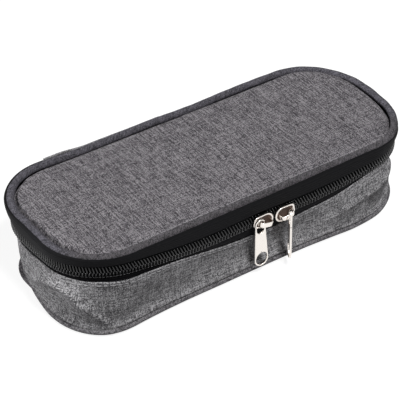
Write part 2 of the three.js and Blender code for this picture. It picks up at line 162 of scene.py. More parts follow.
def close_material(material, inputs, height=None, strength=0.0, distance=0.0):
    """Ends a material's tree with its bump, if it has one, its shader, which gets these inputs, and the output."""
    tree = material.node_tree
    if height is not None:
        bump = add_node(tree, "Bump", {"Height": height, "Strength": strength, "Distance": distance})
        inputs = {**inputs, "Normal": bump}
    add_node(tree, "OutputMaterial", {"Surface": add_node(tree, "BsdfPrincipled", inputs)})
    return material


def heather_polyester(name, dark, middle, light, turn=0.0, lead=0.62, streak=9.0, far=None):
    """Plain weave of melange yarn: warp and weft threads cross, and each changes its shade along its own length, in
    streaks about streak mm long. Lead is the share of the warp, which runs up the cloth map. Far is a tint that
    multiplies the cloth's colour beyond about 104 mm along the edge from the front's middle, either way.
    Real threads lie about 0.3 mm apart: they are drawn thread mm apart, which is coarser, so that they show."""
    material, tree, flat = open_material(name, cloth=True)
    thread = 0.34
    threads = add_node(tree, "Mapping", {"Vector": flat, "Rotation": (0, 0, np.radians(turn)),
                                         "Scale": (1 / (thread * MM), 1 / (thread * MM), 1)})
    count = add_node(tree, "SeparateXYZ", {0: threads}).outputs
    shades, rounds, numbers = [], [], []
    for across, along, lot in ((0, 1, 11.3), (1, 0, 57.9)):
        number = add_node(tree, "Math", {0: count[across]}, operation="FLOOR")
        lane = add_node(tree, "Math", {0: number, 1: 3.71, 2: lot}, operation="MULTIPLY_ADD")
        stretch = add_node(tree, "Math", {0: count[along], 1: thread / streak}, operation="MULTIPLY")
        place = add_node(tree, "CombineXYZ", {0: lane, 1: stretch})
        shades.append(add_node(tree, "TexNoise", {"Vector": place, "Scale": 1.0, "Detail": 2.0, "Roughness": 0.55},
                               noise_dimensions="2D"))
        rounds.append(add_node(tree, "Math", {0: count[across], 1: 1.0}, operation="PINGPONG"))
        numbers.append(number)
    streaks = add_node(tree, "Mix", {0: 1 - lead, 2: shades[0], 3: shades[1]})
    crossing = add_node(tree, "CombineXYZ", {0: numbers[0], 1: numbers[1]})
    speck = add_node(tree, "TexWhiteNoise", {0: crossing}, noise_dimensions="2D")
    shade = add_node(tree, "Mix", {0: 0.26, 2: streaks, 3: speck})
    colour = add_node(tree, "ValToRGB", {0: shade})
    stops = colour.color_ramp.elements
    stops[0].position, stops[0].color = 0.39, srgb(dark)
    stops[1].position, stops[1].color = 0.61, srgb(light)
    stops.new(0.5).color = srgb(middle)
    if far is not None:
        split = add_node(tree, "SeparateXYZ", {0: flat})
        reach = add_node(tree, "Math", {0: split, 1: LINE / 2 * MM}, operation="PINGPONG")
        far_share = add_node(tree, "MapRange", {"Value": reach, "From Min": 0.098, "From Max": 0.11})
        colour = add_node(tree, "Mix", {0: far_share, 6: colour, 7: (*far, 1)}, data_type="RGBA",
                          blend_type="MULTIPLY").outputs[2]
    round_thread = add_node(tree, "Math", {0: rounds[0], 1: rounds[1]}, operation="MULTIPLY")
    return close_material(material, {"Base Color": colour, "Roughness": 0.95, "Specular IOR Level": 0.05},
                          round_thread, 0.35, 0.15 * MM)


def put_mesh(name, points, faces, material, cloth=None):
    """A mesh object from points in mm and a list of faces. Cloth is the place of each face corner on the flat cloth."""
    mesh = bpy.data.meshes.new(name)
    mesh.from_pydata((points * MM).tolist(), [], faces)
    if cloth is not None:
        mesh.uv_layers.new(name="cloth").data.foreach_set("uv", (cloth * MM).ravel())
    shell = bmesh.new()
    shell.from_mesh(mesh)
    bmesh.ops.remove_doubles(shell, verts=shell.verts, dist=1e-7)
    bmesh.ops.recalc_face_normals(shell, faces=shell.faces)
    shell.to_mesh(mesh)
    shell.free()
    mesh.polygons.foreach_set("use_smooth", np.ones(len(mesh.polygons), bool))
    mesh.materials.append(material)
    return put_object(name, mesh)


def grid_corners(rows, columns, rows_close=False, columns_close=False):
    """Row and column of the four corners of each cell of a grid. A closing row or column counts on past the last."""
    row, column = np.meshgrid(np.arange(rows if rows_close else rows - 1),
                              np.arange(columns if columns_close else columns - 1), indexing="ij")
    corner_rows = np.stack([row, row, row + 1, row + 1], -1).reshape(-1, 4)
    corner_columns = np.stack([column, column + 1, column + 1, column], -1).reshape(-1, 4)
    return corner_rows, corner_columns


def rounded_plan(half_length, half_width, radius, corner_steps=14, long_steps=70, rows=44):
    """Grid over a rounded rectangle. x runs along it, by angle round the corners. y is the half width there
    times sin of an even angle, so the rows lie closer at the edges. Also gives the distance in from the edge."""
    angle = np.linspace(0, np.pi / 2, corner_steps + 1)[1:]
    core_x, core_y = half_length - radius, half_width - radius
    middle = np.linspace(-core_x, core_x, long_steps + 1)
    end_x, end_width = core_x + radius * np.sin(angle), core_y + radius * np.cos(angle)
    along = np.concatenate([-end_x[::-1], middle, end_x])
    width = np.concatenate([end_width[::-1], np.full(middle.size, half_width), end_width])
    share = np.sin(np.linspace(-np.pi / 2, np.pi / 2, rows))
    x = np.broadcast_to(along[:, None], (along.size, rows))
    y = width[:, None] * share[None, :]
    over_x, over_y = np.abs(x) - core_x, np.abs(y) - core_y
    outside = np.hypot(np.maximum(over_x, 0), np.maximum(over_y, 0))
    inwards = radius - outside - np.minimum(np.maximum(over_x, over_y), 0)
    return x, y, np.maximum(inwards, 0)


def put_pillow(name, x, y, top, bottom, material):
    """Closed plate or cushion: a top and a bottom height over one plan grid, which share the grid's border."""
    rows, columns = x.shape
    upper = np.arange(x.size).reshape(rows, columns)
    inside = np.zeros(x.shape, bool)
    inside[1:-1, 1:-1] = True
    lower = upper.copy()
    lower[inside] = x.size + np.arange(inside.sum())
    points = np.concatenate([np.stack([x, y, np.broadcast_to(top, x.shape)], -1).reshape(-1, 3),
                             np.stack([x, y, np.broadcast_to(bottom, x.shape)], -1)[inside]])
    r, c = grid_corners(rows, columns)
    faces = np.concatenate([upper[r, c], lower[r, c][:, ::-1]])
    return put_mesh(name, points, faces.tolist(), material, points[faces.ravel()][:, :2])


# The lid and base panels take a copy of the grey cloth painted darker than the walls' copy: painted shade on the top.
darker_painted_grey_fabric = heather_polyester("grey_heather_polyester", "#373538", "#5d5a5e", "#898689")
panel_x, panel_y, panel_in = rounded_plan(98.4, 40.4, 25.5)
panel_edge = 0.7 * np.exp(-panel_in / 1.4)
base_panel = put_pillow("base_panel_cloth", panel_x, panel_y, 0.7 + 0.1 * np.minimum(panel_in, 1), panel_edge,
                        darker_painted_grey_fabric)
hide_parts("base_panel")
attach(base_panel, "base")


# The base piping is a thin cord in a bias cut strip of the same cloth, sewn into the seam of base and wall.
# The soft base isn't a true outline: it is drawn in at the ends and pushed out at the two front corners.
LID_CORE = (71.5, 11.5)
LID_RADIUS = 31.0
corner_run = LID_RADIUS * np.pi / 2
line_stops = np.cumsum([0, LID_CORE[0], corner_run, 2 * LID_CORE[1], corner_run, 2 * LID_CORE[0], corner_run,
                        2 * LID_CORE[1], corner_run, LID_CORE[0]])
LINE = line_stops[-1]
line_turn = np.radians([-90, -90, 0, 0, 90, 90, 180, 180, 270, 270])
core_x = LID_CORE[0] * np.array([0, 1, 1, 1, 1, -1, -1, -1, -1, 0])
core_y = LID_CORE[1] * np.array([-1, -1, -1, 1, 1, 1, 1, -1, -1, -1])


def case_line(along, out):
    """Plan point at a distance along the lid's edge, walked anticlockwise from the front's middle, and out from it.
    Formula: a point of the core rectangle plus the radius and out times the direction that the edge faces."""
    place = np.mod(along, LINE)
    turn = np.interp(place, line_stops, line_turn)
    reach = LID_RADIUS + out
    return (np.interp(place, line_stops, core_x) + reach * np.cos(turn),
            np.interp(place, line_stops, core_y) + reach * np.sin(turn))


def smooth_run(along, points):
    """A smooth closed run through (distance along the edge, value) points, from the front's middle to either side:
    between two points it is the cubic whose slope at each comes from the points on both sides of it."""
    place, value = np.array(points, float).T
    stops = np.concatenate([place[-2:] - LINE, place, place[:2] + LINE])
    level = np.concatenate([value[-2:], value, value[:2]])
    slope = np.gradient(level, stops)
    at = np.mod(along - place[0], LINE) + place[0]
    left = np.clip(np.searchsorted(stops, at, side="right") - 1, 0, stops.size - 2)
    gap = stops[left + 1] - stops[left]
    t = (at - stops[left]) / gap
    return (level[left] * (1 + 2 * t) * (1 - t) ** 2 + level[left + 1] * t ** 2 * (3 - 2 * t)
            + gap * t * (1 - t) * (slope[left] * (1 - t) - slope[left + 1] * t))


def foot_out(along):
    """How far the seam of base and wall lies out from the lid's edge."""
    return smooth_run(along, [
        (-240, -0.8), (-195, -2.6), (-175, -3.6), (-158, -4.8), (-147, -4.9), (-135, -2.4), (-123, -0.7),
        (-114, -0.1), (-107, 0.75), (-100, 1.7), (-92, 2.55), (-86, 2.75), (-80, 2.2), (-72, 1.25), (-60, 0.3),
        (-45, -0.3), (-20, -0.4), (12, -0.5), (30, -0.2), (48, 0.8), (59, 1.45), (67, 1.0), (75, 0.0), (84, -1.0),
        (94, -1.5), (106, -1.5), (132, -2.4), (165, -1.8), (195, -0.8)])


def put_band(name, along, out, height, material, closed=True):
    """Carries a closed section round the case. Out and height hold the section's points, in rows, at each distance
    along, in columns. An open run gets a face over each end. Cloth runs along the edge and round the section."""
    out, height, _ = np.broadcast_arrays(out, height, along)
    rows, columns = out.shape
    points = np.stack([*case_line(along, out), height], -1)
    r, c = grid_corners(rows, columns, True, closed)
    faces = ((r % rows) * columns + c % columns).tolist()
    step = np.linalg.norm(np.diff(np.concatenate([points, points[:1]]), axis=0), axis=2).mean(1)
    girth = np.concatenate([[0], np.cumsum(step)])
    length = np.append(along, along[0] + LINE)
    cloth = np.stack([length[c], girth[r]], -1).reshape(-1, 2)
    if not closed:
        for column in (0, columns - 1):
            faces.append((np.arange(rows) * columns + column).tolist())
            cloth = np.concatenate([cloth, np.stack([np.full(rows, along[column]), girth[:-1]], -1)])
    return put_mesh(name, points.reshape(-1, 3), faces, material, cloth)


def even_turns(count):
    """Angles that part a full circle evenly."""
    return np.linspace(0, 2 * np.pi, count, endpoint=False)


seam_fabric = heather_polyester("grey_seam_polyester", "#3e3d3f", "#615f62", "#858386", turn=40, streak=5.0)
full_round = np.arange(0, LINE, LINE / 600)
base_cord, base_cord_level = 1.15, 1.95
around = even_turns(12)[:, None]
base_piping = put_band("base_piping_cloth", full_round,
                       foot_out(full_round) - base_cord + base_cord * np.cos(around),
                       base_cord_level + base_cord * np.sin(around), seam_fabric)
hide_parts("base_piping")
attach(base_piping, "base")


# The gusset is the wall round the case: one strip of the grey cloth, sewn to the base below and hemmed at the zip.
# Only soft foam stands behind it, so it bulges, dips under the sliders and creases at the two front corners.
WALL_FOOT, BACK_HEM, BACK_HALF = 3.1, 25.6, 69


def zip_height(along):
    """Height of the middle of the chain: it hangs lowest where the two sliders pull at it."""
    return smooth_run(along, [
        (-240, 33.5), (-195, 33.5), (-168, 32.6), (-150, 32.0), (-132, 32.0), (-118, 33.0), (-104, 34.3),
        (-90, 35.1), (-78, 34.9), (-62, 33.0), (-46, 30.9), (-30, 29.8), (-12, 29.8), (3, 30.2), (16, 29.8),
        (32, 29.4), (45, 30.0), (57, 31.2), (70, 32.8), (85, 34.0), (100, 34.2), (132, 34.0), (168, 33.8),
        (195, 33.5)])


def on_back(along):
    """1 along the straight back between the two ends of the zip, fading to 0 over some millimetres beyond them."""
    return 1 / (1 + np.exp((np.abs(np.mod(along, LINE) - LINE / 2) - BACK_HALF) / 1.2))


def wall_top(along):
    """Height of the gusset's hem: lowest under the sliders, and level with the hinge along the back."""
    hem = smooth_run(along, [
        (-240, 28.0), (-195, 28.0), (-168, 26.6), (-150, 26.0), (-138, 26.0), (-126, 27.4), (-112, 29.3),
        (-100, 30.5), (-86, 31.4), (-74, 30.7), (-62, 29.4), (-50, 27.4), (-36, 24.8), (-19, 21.9), (-5, 20.7),
        (10, 20.5), (24, 21.0), (36, 21.8), (46, 22.6), (54, 24.1), (62, 26.4), (70, 28.7), (78, 30.3), (90, 30.2),
        (110, 29.6), (132, 29.6), (168, 29.0), (195, 28.0)])
    return hem + (BACK_HEM - hem) * on_back(along)


def soft_step(value, width):
    """0 below 0, 1 above width, and 3 t squared - 2 t cubed between them."""
    t = np.clip(value / width, 0, 1)
    return t * t * (3 - 2 * t)


def fold_away(along, height, points, rise, fall, above, under, roll, fade):
    """A fold whose edge follows (along, height) points. The cloth stands out by rise at the edge, eases off over some
    above mm over it, rolls over in the first roll mm under it, and falls back to fall, by 1 - exp(-below / under).
    It fades in and out between the fade distances."""
    edge = smooth_run(along, points)
    steep = smooth_run(along + 0.5, points) - smooth_run(along - 0.5, points)
    below = (edge - height) / np.sqrt(1 + steep ** 2)
    full = soft_step(along - fade[0], fade[1] - fade[0]) * soft_step(fade[3] - along, fade[3] - fade[2])
    under_edge = np.maximum(below, 0) ** 2 / (np.maximum(below, 0) + roll)
    return full * np.where(below > 0, (rise + fall) * np.exp(-under_edge / under) - fall,
                           rise * np.exp(np.minimum(below, 0) / above))


def wall_out(along, height):
    """How far the gusset stands out from the lid's edge: from its foot to its hem, drawn in between, with its folds."""
    share = np.clip((height - WALL_FOOT) / (wall_top(along) - WALL_FOOT), 0, 1)
    hem_out = smooth_run(along, [
        (-240, -1.7), (-195, -2.0), (-170, -3.1), (-158, -3.0), (-146, -2.6), (-132, -2.2), (-118, -2.0),
        (-104, -1.0), (-92, 0.4), (-78, 1.6), (-62, 0.6), (-45, -1.3), (-20, -3.0), (20, -3.3), (44, -2.9),
        (60, -2.3), (75, -2.3), (83, -3.0), (91, -4.8), (101, -7.8), (112, -7.7), (122, -6.8), (132, -5.4),
        (150, -4.0), (165, -3.0), (195, -1.9)])
    bulge = smooth_run(along, [
        (-240, 0.6), (-195, 0.0), (-165, 0.4), (-145, 0.6), (-125, 0.3), (-100, -0.1), (-85, 0.0), (-70, -0.3),
        (-55, -1.3), (-35, -2.2), (0, -2.3), (30, -2.3), (45, -1.8), (60, -0.8), (75, -0.3), (90, 0.2), (100, 0.3),
        (120, 0.4), (132, 0.3), (165, 0.2), (195, 0.6)])
    late = smooth_run(along, [
        (-240, 1.1), (-160, 1.1), (-80, 1.1), (0, 1.1), (50, 1.1), (70, 1.1), (88, 2.0), (101, 2.4), (115, 2.4),
        (132, 1.8), (150, 1.2), (165, 1.1), (195, 1.1)])
    foot = foot_out(along) - 0.2
    plain = foot + (hem_out - foot) * share ** late + bulge * np.sin(np.pi * share ** 0.8)
    front = np.mod(along + LINE / 2, LINE) - LINE / 2
    right_fold = fold_away(front, height, [
        (10, 10), (30, 10.4), (40, 11.2), (46, 12.3), (55, 14.5), (62, 16.2), (68, 17.4), (78, 20.3), (85, 22.8),
        (92, 26.3), (102, 32), (115, 40)],
        rise=2.2, fall=3.2, above=4.5, under=10.0, roll=0.5, fade=(34, 58, 92, 106))
    left_arch = fold_away(front, height, [
        (-165, 4), (-145, 10.5), (-140, 12.2), (-133, 14.6), (-126, 18.4), (-119, 22.2), (-111, 24.4), (-104, 23.4),
        (-97, 19.0), (-91, 13.6), (-87, 8), (-83, 1)],
        rise=3.2, fall=3.0, above=3.0, under=7.0, roll=1.0, fade=(-146, -124, -98, -89))
    near_line = np.interp(height, [5, 8, 12, 17, 21, 24], [-85, -87, -91, -95.5, -99, -103])
    near_leg = 1.6 * np.exp(-((front - near_line) / 2.1) ** 2) * soft_step(25 - height, 6)
    far_line = np.interp(height, [5, 8.5, 14, 20.5], [-131, -137, -141, -145])
    far_leg = 0.8 * np.exp(-((front - far_line) / 2.4) ** 2)
    folds = right_fold + left_arch + near_leg + far_leg
    slack = 0.25 * np.sin(along / 9.0 + height / 4.0) + 0.2 * np.sin(along / 5.3 - height / 6.0 + 1.0)
    tuck_depth = smooth_run(along, [
        (-240, 0), (-160, 0), (-125, 0), (-105, 0.4), (-92, 1.5), (-84, 2.4), (-74, 2.4), (-64, 2.0), (-54, 1.2),
        (-42, 0.3), (-30, 0), (-10, 0), (40, 0), (75, 0), (88, 0.5), (100, 0.7), (115, 1.0), (132, 1.0), (150, 0.3),
        (165, 0), (195, 0)])
    rise = (height - WALL_FOOT) / 3.8
    tuck = -tuck_depth * rise * np.exp(1 - rise)
    seam = -1.4 * np.exp(-((height - WALL_FOOT) / 0.45) ** 2)
    held = soft_step(height - 3.0, 3.4) * soft_step(wall_top(along) - height, 5.0)
    return plain + seam + tuck + (folds + slack) * held


cloth_thickness = 0.8
wall_height = WALL_FOOT + (wall_top(full_round) - WALL_FOOT) * np.linspace(0, 1, 34)[:, None]
wall_face = wall_out(full_round, wall_height)
hem_in, hem_up = np.array([[0.25], [0.6]]), np.array([[0.15], [0.15]])
gusset_out = np.concatenate([wall_face, wall_face[-1:] - hem_in, wall_face[::-1] - cloth_thickness])
gusset_height = np.concatenate([wall_height, wall_height[-1:] + hem_up, wall_height[::-1]])
# The gusset and the hinge take a copy of the same grey cloth painted lighter than the panels' copy: painted light on
# the walls.
lighter_painted_wall_fabric = heather_polyester("grey_gusset_polyester", "#474648", "#757476", "#a8a7a9", lead=0.45, streak=8.0)
gusset = put_band("gusset_cloth", full_round, gusset_out, gusset_height, lighter_painted_wall_fabric)
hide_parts("side_wall", "back_wall")
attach(gusset, "base")


# A row of lock stitches in a lighter grey thread holds the gusset's hem down on the zip tape, 1.6 mm under the edge.
# Each stitch is a short run of twisted thread that lies on the cloth and dips into it at both ends.
def put_beads(name, along, out, height, material):
    """Many small closed shapes at once: the arrays hold rings of points for each shape, ordered shape, ring, side."""
    along, out, height = np.broadcast_arrays(along, out, height)
    count, rings, sides = along.shape
    points = np.stack([*case_line(along, out), height], -1).reshape(-1, 3)
    r, c = grid_corners(rings, sides, False, True)
    cell = r * sides + c % sides
    first = (np.arange(count) * rings * sides)[:, None]
    sides_faces = (cell.reshape(1, -1) + first).reshape(-1, 4).tolist()
    ends = [np.arange(sides), (rings - 1) * sides + np.arange(sides)[::-1]]
    caps = np.concatenate([first + end[None, :] for end in ends]).tolist()
    return put_mesh(name, points, sides_faces + caps, material)


def spun_thread(name, colour):
    """Twisted polyester sewing thread: a plain matt colour with fine slanted plies, 0.3 mm apart."""
    material, tree, place = open_material(name)
    plies = add_node(tree, "TexWave", {"Vector": place, "Scale": 1 / (0.3 * MM) / 6.28, "Distortion": 1.0},
                     bands_direction="DIAGONAL")
    return close_material(material, {"Base Color": srgb(colour), "Roughness": 0.7, "Sheen Weight": 0.1},
                          plies.outputs[1], 0.4, 0.05 * MM)


def stitch_row(name, starts, length, thick, out_of, height_of, material):
    """Stitches from each start: thick across, tapered to the ends as sin, and sunk into the cloth there."""
    share = np.linspace(0, 1, 6)[:, None]
    side = even_turns(6)
    along = starts[:, None, None] + length * share
    swell = np.sin(np.pi * (0.12 + 0.76 * share)) * thick / 2
    out = out_of(along) + 0.1 * np.sin(np.pi * share) + swell * np.cos(side)
    height = height_of(along) + swell * np.sin(side)
    return put_beads(name, along, out, height, material)


grey_thread = spun_thread("light_grey_thread", "#929193")
stitch_pitch, stitch_length = 3.1, 2.3
stitch_stop, hem_inset = 70, 1.6
hem_starts = np.arange(LINE / 2 + stitch_stop + 1, LINE * 1.5 - stitch_stop, stitch_pitch)
wall_stitches = stitch_row("gusset_stitching", hem_starts, stitch_length, 0.5,
                           lambda along: wall_out(along, wall_top(along) - hem_inset),
                           lambda along: wall_top(along) - hem_inset, grey_thread)
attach(wall_stitches, "base")


# Insulation stands inside the gusset and lies on the base: white closed cell polyethylene foam sheet.
# It is sealed in between the cloth and the lining, and only fills the case out.
def foamed_sheet(name, colour):
    """Expanded polyethylene: matt and pale, with rounded closed cells about 1.2 mm wide that show as soft pits."""
    material, tree, place = open_material(name)
    cells = add_node(tree, "TexVoronoi", {"Vector": place, "Scale": 1 / (1.2 * MM)})
    return close_material(material, {"Base Color": srgb(colour), "Roughness": 0.85}, cells, 0.3, 0.2 * MM)


white_foam = foamed_sheet("white_polyethylene_foam", "#efefec")
foam_line = np.arange(0, LINE, LINE / 160)
foam_low, foam_high, foam_back = 5.0, 23.2, -7.6
foam_height = np.array([foam_low, 9.0, 14.0, 18.0, foam_high])[:, None]
foam_limit = np.array([0, 0, -3.0, -3.9, -3.9])[:, None]
foam_face = np.maximum(np.minimum(wall_out(foam_line, foam_height) - 1.4, foam_limit), foam_back + 0.4)
wall_padding = put_band("wall_padding", foam_line,
                        np.concatenate([foam_face, np.full((2, foam_line.size), foam_back)]),
                        np.concatenate([foam_height, [[foam_high], [foam_low]]]), white_foam)
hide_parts("wall_foam")
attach(wall_padding, "base")


def put_foam(name, half_length, half_width, radius, level, half):
    """A foam sheet with rounded edges: each face is half times tanh of the distance in from the edge off its level."""
    x, y, inwards = rounded_plan(half_length, half_width, radius, 8, 24, 20)
    return put_pillow(name, x, y, level + half * np.tanh(inwards), level - half * np.tanh(inwards), white_foam)


base_padding = put_foam("base_padding", 96.0, 38.4, 23.5, level=2.6, half=1.4)
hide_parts("base_foam")
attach(base_padding, "base")


# The lining is a silver foil laminate on a thin film, glued to the foam on the base and round the wall.
# It can't follow the soft foam without creasing, so it glitters in small flat facets between fine creases.
def foil_laminate(name, colour):
    """Aluminium coated film: metallic, with flat facets about 9 mm wide that meet in fine creases."""
    material, tree, place = open_material(name)
    facets = add_node(tree, "TexVoronoi", {"Vector": place, "Scale": 1 / (9.0 * MM)}, feature="SMOOTH_F1")
    fine = add_node(tree, "TexNoise", {"Vector": place, "Scale": 1 / (3 * MM), "Detail": 3.0})
    both = add_node(tree, "Math", {0: fine, 1: 0.5, 2: facets}, operation="MULTIPLY_ADD")
    rough = add_node(tree, "MapRange", {"Value": fine, "To Min": 0.2, "To Max": 0.42})
    return close_material(material, {"Base Color": srgb(colour), "Metallic": 0.92, "Roughness": rough},
                          both, 0.6, 0.6 * MM)


silver_foil = foil_laminate("silver_foil_laminate", "#c3c6ca")
foil_x, foil_y, foil_in = rounded_plan(94.5, 34.5, 23.0, 10, 60, 36)
ripple = 0.12 * np.sin(foil_x / 6.1) * np.sin(foil_y / 4.7 + 1.0) * np.minimum(foil_in / 4, 1)
base_lining = put_pillow("base_lining_foil", foil_x, foil_y, 4.75 + ripple, 4.45, silver_foil)
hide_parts("base_lining")
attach(base_lining, "base")

lining_rows = np.linspace(5.2, 23.4, 20)[:, None]
lining_ripple = 0.18 * np.sin(full_round / 5.2 + lining_rows / 3.1) * np.sin(full_round / 8.3 - lining_rows / 2.7)
lining_face = -8.35 + lining_ripple
wall_lining = put_band("wall_lining_foil", full_round, np.concatenate([lining_face, np.full_like(lining_face, -7.95)]),
                       np.concatenate([lining_rows, lining_rows[::-1]]), silver_foil)
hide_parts("wall_lining")
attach(wall_lining, "base")


# Binding tape folds over the raw top edge of foam and foil inside the wall: black ribbed polyester tape.
# It is sewn through both legs, so it lies tight over the edge with a rounded fold.
def two_tones(tree, value, colour, low, high):
    """A ramp over a value, from low times a colour to high times it, at most white."""
    base = np.array(srgb(colour))[:3]
    ramp = add_node(tree, "ValToRGB", {0: value})
    for stop, share in zip(ramp.color_ramp.elements, (low, high)):
        stop.color = (*np.minimum(base * share, 1), 1)
    return ramp


def ribbed_tape(name, colour, rib, roughness, along=0):
    """Woven narrow tape: one dark colour with ribs, rib mm apart, that cross it or run along it, on the cloth map."""
    material, tree, flat = open_material(name, cloth=True)
    split = add_node(tree, "SeparateXYZ", {0: flat}).outputs
    ribs = add_node(tree, "Math", {0: split[along], 1: rib * MM}, operation="PINGPONG")
    picks = add_node(tree, "Math", {0: split[1 - along], 1: 0.35 * rib * MM}, operation="PINGPONG")
    rise = add_node(tree, "Math", {0: picks, 1: 0.6, 2: ribs}, operation="MULTIPLY_ADD")
    worn = add_node(tree, "TexNoise", {"Vector": flat, "Scale": 1 / (2.5 * MM), "Detail": 3.0}, noise_dimensions="2D")
    return close_material(material, {"Base Color": two_tones(tree, worn, colour, 0.75, 1.35), "Roughness": roughness,
                                     "Specular IOR Level": 0.1}, rise, 0.5, 0.5)


black_binding = ribbed_tape("black_binding_tape", "#232326", 1.1, 0.75)
fold_out = np.array([-3.8, -3.75, -4.2, -5.2, -7.2, -8.3, -8.8, -8.95, -8.95, -8.5, -8.5, -8.0])[:, None]
fold_height = np.array([23.7, 24.3, 24.75, 24.95, 24.95, 24.75, 24.2, 23.0, 20.6, 20.6, 23.4, 23.6])[:, None]
behind_cloth = wall_out(full_round, np.minimum(24.0, wall_top(full_round) - 0.5)) - 1.6
base_binding = put_band("base_rim_tape", full_round, np.minimum(fold_out, behind_cloth), fold_height, black_binding)
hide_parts("base_rim_binding")
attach(base_binding, "base")


# The zip's lower half: a black woven tape sewn behind the gusset's hem, with a nylon coil along its upper edge.
# The tape is a fine plain weave. The coil is a bent filament whose loops show as short slanted bars with round heads.
black_tape = ribbed_tape("black_zip_tape", "#0f0f11", 0.7, 0.8, along=1)
zip_stop = 68
zip_run = np.arange(LINE / 2 + zip_stop, LINE * 1.5 - zip_stop + 0.01, (LINE - 2 * zip_stop) / 360)
tape_thickness = 0.6


def zip_out(along):
    """How far the face of the tapes lies out from the lid's edge at the chain: drawn in round the corners."""
    return smooth_run(along, [
        (-240, -2.4), (-195, -2.4), (-175, -2.2), (-160, -2.2), (-145, -2.6), (-128, -3.0), (-110, -3.3),
        (-90, -3.0), (-70, -2.7), (0, -2.7), (70, -2.7), (80, -2.7), (90, -2.6), (104, -2.8), (132, -3.2),
        (165, -3.0), (195, -2.6)])


def put_strip(name, along, face, height, thickness, material):
    """A strip of cloth that ends: its outer face, and its back a thickness behind that."""
    return put_band(name, along, np.concatenate([face, face[::-1] - thickness]),
                    np.concatenate([height, height[::-1]]), material, closed=False)


lower_width, tape_gap = 10.4, 0.6
lower_height = zip_height(zip_run) - tape_gap - lower_width * (1 - np.linspace(0, 1, 16)[:, None])
under_hem = soft_step(wall_top(zip_run) + 2.0 - lower_height, 2.0)
behind_wall = wall_out(zip_run, np.minimum(lower_height, wall_top(zip_run))) - 1.0
lower_face = zip_out(zip_run) + (np.minimum(behind_wall, zip_out(zip_run)) - zip_out(zip_run)) * under_hem
base_tape = put_strip("base_zip_tape_cloth", zip_run, lower_face, lower_height, tape_thickness, black_tape)
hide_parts("base_zip_tape")
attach(base_tape, "base")


def nylon_coil(name, colour):
    """Black nylon monofilament: smooth and half gloss, with faint die lines about 0.4 mm apart."""
    material, tree, place = open_material(name)
    lines = add_node(tree, "TexNoise", {"Vector": place, "Scale": 1 / (0.4 * MM)})
    rough = add_node(tree, "MapRange", {"Value": lines, "To Min": 0.18, "To Max": 0.34})
    return close_material(material, {"Base Color": srgb(colour), "Roughness": rough, "Specular IOR Level": 0.5})


black_coil = nylon_coil("black_nylon_coil", "#0e0e10")
loop_pitch = 1.7


def coil_half(name, shift, rise, slant, lean):
    """Loops of one coil: bent bars from the chain's middle to the coil's edge, rise mm away, thick at the head.
    Slant carries the far end along the chain, and lean sets it back."""
    starts = np.arange(zip_run[0] + 1.5 + shift, zip_run[-1] - 1.5, loop_pitch)[:, None, None]
    share = np.linspace(0, 1, 7)[:, None]
    side = even_turns(6)
    girth = np.array([0.4, 0.95, 1.0, 0.9, 0.85, 0.8, 0.4])[:, None]
    head = -0.25 * np.sign(rise)
    along = starts + slant * share ** 1.4 + 0.48 * girth * np.cos(side)
    out = zip_out(starts) + 1.1 + 0.75 * girth * np.sin(side) - lean * share ** 2
    height = zip_height(starts) + head + (rise - head) * share
    return put_beads(name, along, out, height, black_coil)


tape_thread = spun_thread("dark_grey_thread", "#605f62")
coil_stitches = stitch_row("coil_stitching", np.arange(zip_run[0] + 2, zip_run[-1] - 3, 2.2), 2.0, 0.42,
                           lambda along: zip_out(along) + 0.2, lambda along: zip_height(along) - 3.1, tape_thread)
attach(coil_stitches, "base")

base_coil = coil_half("base_zip_coil_loops", 0.0, -2.2, -0.3, 0.0)
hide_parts("base_zip_coil")
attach(base_coil, "base")


# Two cold packs lie side by side on the base: blue gel in a clear film pouch that is welded flat all round.
# The film puckers where the weld ends, and the gel fills the middle to a soft pillow.
def gel_in_film(name, colour):
    """Gel behind polyethylene film: a pale blue, half clear body under a smooth glossy coat, with faint bubbles."""
    material, tree, place = open_material(name)
    cloud = add_node(tree, "TexNoise", {"Vector": place, "Scale": 1 / (14 * MM), "Detail": 4.0})
    return close_material(material, {
        "Base Color": two_tones(tree, cloud, colour, 0.85, 1.15), "Roughness": 0.3, "Coat Weight": 0.7,
        "Coat Roughness": 0.08, "Subsurface Weight": 0.25, "Subsurface Radius": (0.002, 0.003, 0.005)})


blue_gel = gel_in_film("blue_gel_film_pouch", "#93c3e2")
pack_level = 9.1
pack_x, pack_y, pack_in = rounded_plan(38, 28, 8, 8, 60, 60)
pack_angle = np.arctan2(pack_y, pack_x)
pucker = 0.28 * np.sin(pack_angle * 46) * np.exp(-((pack_in - 6.0) / 2.2) ** 2)
pack_swell = 3.75 * (1 - np.exp(-(np.maximum(pack_in - 4.0, 0) / 6.0) ** 2))
pack_film = 0.15 * np.tanh(pack_in * 4)
for side, middle in (("left", -40.0), ("right", 40.0)):
    pack = put_pillow(f"gel_pack_{side}_pouch", pack_x + middle, pack_y, pack_level + pack_film + pack_swell + pucker,
                      pack_level - pack_film - pack_swell, blue_gel)
    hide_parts(f"gel_pack_{side}")
    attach(pack, "base")


# The divider is an insulated pad that keeps the pens off the packs: foam in grey cloth with a bound edge.
# Rows of stitching through the foam draw it down in shallow channels.
pad_fabric = heather_polyester("grey_divider_polyester", "#4c4b50", "#7a7a7f", "#b3b2b8")
pad_level = 15.0
pad_x, pad_y, pad_in = rounded_plan(93.3, 33.3, 21.8, 12, 110, 60)
channels = np.exp(-(np.mod(pad_x + 15, 30) - 15) ** 2 / 1.6) + np.exp(-(pad_in - 5) ** 2)
pad_round = 1.45 * np.sqrt(1 - (1 - np.minimum(pad_in / 2.2, 1)) ** 2)
pad_top = pad_level + pad_round - 0.5 * np.minimum(channels, 1) * np.minimum(pad_in / 3, 1)
divider = put_pillow("divider_pad_cloth", pad_x, pad_y, pad_top, pad_level - pad_round, pad_fabric)
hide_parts("divider_pad")
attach(divider, "base")


